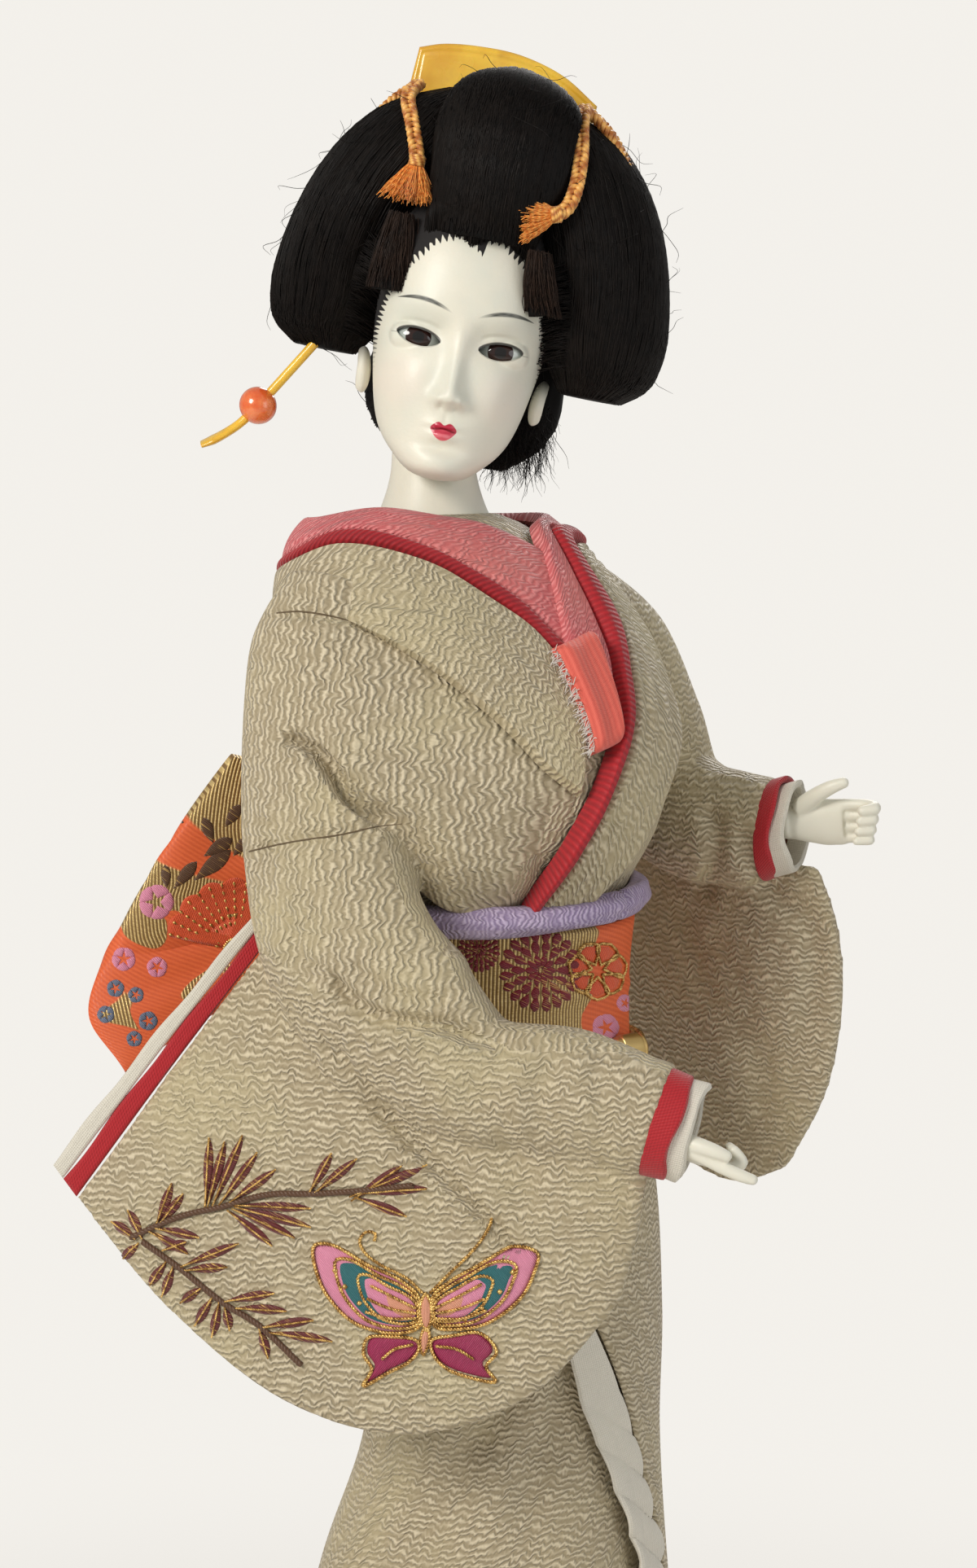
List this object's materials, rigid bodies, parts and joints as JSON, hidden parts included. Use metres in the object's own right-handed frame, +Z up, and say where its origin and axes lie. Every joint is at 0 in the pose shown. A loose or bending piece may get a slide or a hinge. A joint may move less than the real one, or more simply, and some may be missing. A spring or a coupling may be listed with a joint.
{
  "type": "standing kimono doll",
  "caption": "Standing doll in a long-sleeved kimono with a bow sash and dressed hair, on a lacquered stand; the head and hands turn, the comb and hairpin pull out.",
  "frame": {"origin": "underside of the stand's felt, on the axis of the steel post that carries the doll", "axes": "+Z up along the post, -Y the front of the stand, towards the picture's camera, +X its right in the picture"},
  "size_m": [0.19, 0.166, 0.4452],
  "materials": {
    "felt": "woven felt",
    "lacquer": "high gloss black lacquer",
    "steel": "plain",
    "straw": "bound straw",
    "bush_wood": "bare",
    "crepe": "silk crepe with wavy ridges",
    "pink_crepe": "silk crepe",
    "red_silk": "plain silk",
    "white_cotton": "plain weave",
    "coral_silk": "plain silk",
    "brocade": "ribbed brocade with gold thread",
    "lavender_silk": "dappled silk crepe",
    "gold_cord": "braided metallic thread",
    "clasp_brass": "polished",
    "face_paint": "many coats of shell-white paint, satin",
    "eye_glass": "dark brown glass with a black pupil",
    "hair": "combed silk strands",
    "amber": "amber, slightly see-through",
    "orange_cord": "braided cord",
    "bead_glass": "glossy orange"
  },
  "bodies": {
    "dressed_body": {"felt_sheet": "felt", "stand_board": "lacquer", "stand_post": "steel", "post_washer": "steel", "post_nut": "steel", "leg_form": "straw", "chest_form": "straw", "neck_bush": "bush_wood", "right_arm_wire": "steel", "left_arm_wire": "steel", "skirt": "crepe", "hem_roll": "red_silk", "front_panel": "crepe", "panel_facing": "white_cotton", "bodice": "crepe", "pink_collar_right": "pink_crepe", "red_facing_right": "red_silk", "kimono_collar_right": "crepe", "pink_collar_left": "pink_crepe", "red_facing_left": "red_silk", "kimono_collar_left": "crepe", "chest_pouch": "coral_silk", "sash": "brocade", "scarf_roll": "lavender_silk", "sash_cord": "gold_cord", "cord_clasp": "clasp_brass", "bow_knot": "brocade", "bow_wing_right": "brocade", "bow_wing_left": "brocade", "bow_tail": "brocade", "sleeve_right": "crepe", "cuff_red_right": "red_silk", "cuff_white_right": "white_cotton", "bag_edge_red_right": "red_silk", "bag_edge_white_right": "white_cotton", "sleeve_left": "crepe", "cuff_red_left": "red_silk", "cuff_white_left": "white_cotton", "bag_edge_red_left": "red_silk", "bag_edge_white_left": "white_cotton"},
    "head": {"head": "face_paint", "neck_peg": "bush_wood", "eye_right": "eye_glass", "eye_left": "eye_glass", "hair_front": "hair", "hair_wing_right": "hair", "hair_wing_left": "hair", "hair_nape": "hair", "hair_chignon": "hair", "sidelock_right": "hair", "sidelock_left": "hair", "braid_right": "orange_cord", "braid_left": "orange_cord"},
    "right_hand": {"right_hand": "face_paint"},
    "left_hand": {"left_hand": "face_paint"},
    "comb": {"comb": "amber"},
    "hairpin": {"pin_stalk": "amber", "pin_bead": "bead_glass"}
  },
  "joints": [
    {"name": "head_turn", "type": "hinge", "parent": "dressed_body", "child": "head", "pos_m": [-0.0105, 0.0025, 0.35], "axis": [0, 0, 1], "range_deg": [-30, 30]},
    {"name": "right_hand_turn", "type": "hinge", "parent": "dressed_body", "child": "right_hand", "pos_m": [0.03, -0.0525, 0.2505], "axis": [0.8804, -0.2201, -0.4202], "range_deg": [-30, 30]},
    {"name": "left_hand_turn", "type": "hinge", "parent": "dressed_body", "child": "left_hand", "pos_m": [0.059, 0.0085, 0.2987], "axis": [0.9318, -0.3607, 0.0401], "range_deg": [-30, 30]},
    {"name": "comb_slide", "type": "slide", "parent": "head", "child": "comb", "axis": [0.3161, -0.0182, 0.9486], "range_m": [0, 0.025]},
    {"name": "hairpin_slide", "type": "slide", "parent": "head", "child": "hairpin", "axis": [-0.6779, -0.0272, -0.7347], "range_m": [0, 0.014]}
  ]
}
